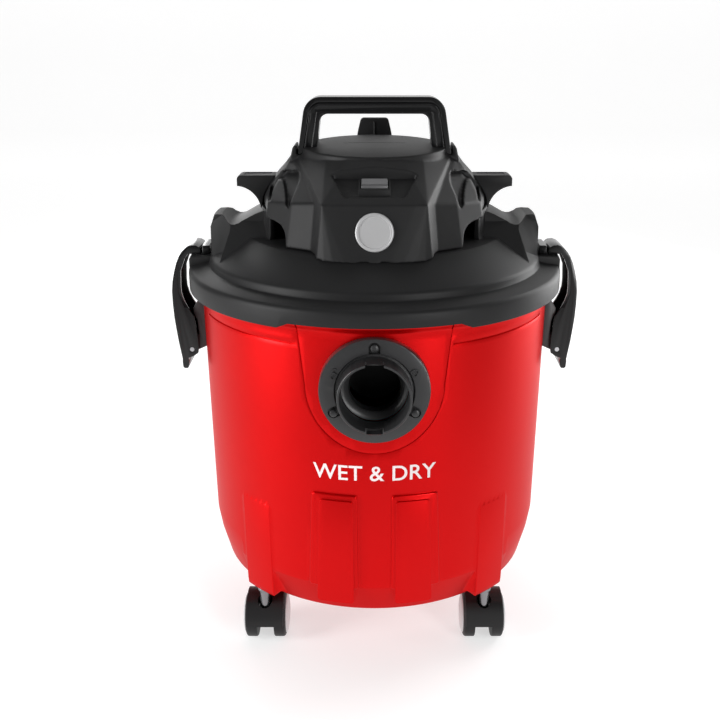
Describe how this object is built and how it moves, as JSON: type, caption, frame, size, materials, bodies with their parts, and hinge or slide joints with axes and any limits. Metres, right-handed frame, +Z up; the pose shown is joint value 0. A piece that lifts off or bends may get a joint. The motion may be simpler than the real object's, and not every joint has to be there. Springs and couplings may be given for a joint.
{
  "type": "wet and dry shop vacuum",
  "caption": "Round shop vacuum: red tank on swivel casters with a front hose port, under a black lift-off motor head with side clips, cord hooks, rocker switch and carrying handle.",
  "frame": {"origin": "on the floor, below the middle of the whole object's footprint; the tank's own axis is 5 mm behind it", "axes": "+Z up; -Y towards the front, where the hose port is; +X to the right seen from the back"},
  "size_m": [0.3634, 0.34, 0.475],
  "materials": {
    "red_plastic": "satin",
    "black_plastic": "satin moulded",
    "gloss_black_plastic": "polished",
    "grey_plastic": "satin moulded",
    "rubber": "matte",
    "steel": "plain",
    "chrome": "polished",
    "copper_windings": "wound and varnished",
    "foam": "open foam",
    "silver_plastic": "metallic",
    "wheel_grey_plastic": "smooth",
    "carbon": "pressed",
    "white_plastic": "smooth"
  },
  "bodies": {
    "tank": {"tank": "red_plastic", "inlet_port": "black_plastic", "inlet_screw_1": "steel", "inlet_screw_2": "steel", "inlet_screw_3": "steel", "inlet_deflector": "black_plastic", "latch_bracket_left": "grey_plastic", "latch_bracket_right": "grey_plastic", "latch_pin_left": "steel", "latch_pin_right": "steel"},
    "head": {"lid": "black_plastic", "lid_gasket": "rubber", "motor_housing": "black_plastic", "handle": "gloss_black_plastic", "cord_hook_left": "black_plastic", "cord_hook_right": "black_plastic", "rear_hook": "black_plastic", "latch_catch_left": "gloss_black_plastic", "latch_catch_right": "gloss_black_plastic", "front_badge": "silver_plastic", "cable_gland": "rubber", "switch_tray": "gloss_black_plastic", "fan_housing": "steel", "motor_stator": "steel", "motor_bracket": "steel", "bearing_upper": "chrome", "bearing_lower": "chrome", "carbon_brush_left": "carbon", "carbon_brush_right": "carbon", "float_cage": "grey_plastic", "filter_sleeve": "foam"},
    "rocker": {"switch_rocker": "silver_plastic"},
    "rotor": {"armature": "copper_windings", "impeller": "steel"},
    "float": {"float_ball": "white_plastic"},
    "latch_left": {"latch_clip_left": "gloss_black_plastic"},
    "latch_right": {"latch_clip_right": "gloss_black_plastic"},
    "caster_front_left": {"caster_stem_front_left": "chrome", "caster_hood_front_left": "black_plastic"},
    "wheels_front_left": {"caster_axle_front_left": "steel", "caster_wheel_left_front_left": "wheel_grey_plastic", "caster_wheel_right_front_left": "wheel_grey_plastic"},
    "caster_front_right": {"caster_stem_front_right": "chrome", "caster_hood_front_right": "black_plastic"},
    "wheels_front_right": {"caster_axle_front_right": "steel", "caster_wheel_left_front_right": "wheel_grey_plastic", "caster_wheel_right_front_right": "wheel_grey_plastic"},
    "caster_rear_left": {"caster_stem_rear_left": "chrome", "caster_hood_rear_left": "black_plastic"},
    "wheels_rear_left": {"caster_axle_rear_left": "steel", "caster_wheel_left_rear_left": "wheel_grey_plastic", "caster_wheel_right_rear_left": "wheel_grey_plastic"},
    "caster_rear_right": {"caster_stem_rear_right": "chrome", "caster_hood_rear_right": "black_plastic"},
    "wheels_rear_right": {"caster_axle_rear_right": "steel", "caster_wheel_left_rear_right": "wheel_grey_plastic", "caster_wheel_right_rear_right": "wheel_grey_plastic"}
  },
  "joints": [
    {"name": "head_lift", "type": "slide", "parent": "tank", "child": "head", "axis": [0, 0, 1], "range_m": [0, 0.3]},
    {"name": "rocker_tilt", "type": "hinge", "parent": "head", "child": "rocker", "pos_m": [0, -0.081, 0.4115], "axis": [1, 0, 0], "range_deg": [-14, 0]},
    {"name": "rotor_spin", "type": "hinge", "parent": "head", "child": "rotor", "pos_m": [0, 0.005, 0.395], "axis": [0, 0, 1], "continuous": true},
    {"name": "float_rise", "type": "slide", "parent": "head", "child": "float", "axis": [0, 0, 1], "range_m": [0, 0.04]},
    {"name": "latch_left_swing", "type": "hinge", "parent": "tank", "child": "latch_left", "pos_m": [-0.1672, 0.005, 0.252], "axis": [0, -1, 0], "range_deg": [0, 48]},
    {"name": "latch_right_swing", "type": "hinge", "parent": "tank", "child": "latch_right", "pos_m": [0.1672, 0.005, 0.252], "axis": [0, 1, 0], "range_deg": [0, 48]},
    {"name": "swivel_front_left", "type": "hinge", "parent": "tank", "child": "caster_front_left", "pos_m": [-0.099, -0.096, 0.06], "axis": [0, 0, 1], "continuous": true},
    {"name": "roll_front_left", "type": "hinge", "parent": "caster_front_left", "child": "wheels_front_left", "pos_m": [-0.099, -0.0855, 0.021], "axis": [1, 0, 0], "continuous": true},
    {"name": "swivel_front_right", "type": "hinge", "parent": "tank", "child": "caster_front_right", "pos_m": [0.099, -0.096, 0.06], "axis": [0, 0, 1], "continuous": true},
    {"name": "roll_front_right", "type": "hinge", "parent": "caster_front_right", "child": "wheels_front_right", "pos_m": [0.099, -0.0855, 0.021], "axis": [1, 0, 0], "continuous": true},
    {"name": "swivel_rear_left", "type": "hinge", "parent": "tank", "child": "caster_rear_left", "pos_m": [-0.099, 0.106, 0.06], "axis": [0, 0, 1], "continuous": true},
    {"name": "roll_rear_left", "type": "hinge", "parent": "caster_rear_left", "child": "wheels_rear_left", "pos_m": [-0.099, 0.1165, 0.021], "axis": [1, 0, 0], "continuous": true},
    {"name": "swivel_rear_right", "type": "hinge", "parent": "tank", "child": "caster_rear_right", "pos_m": [0.099, 0.106, 0.06], "axis": [0, 0, 1], "continuous": true},
    {"name": "roll_rear_right", "type": "hinge", "parent": "caster_rear_right", "child": "wheels_rear_right", "pos_m": [0.099, 0.1165, 0.021], "axis": [1, 0, 0], "continuous": true}
  ]
}
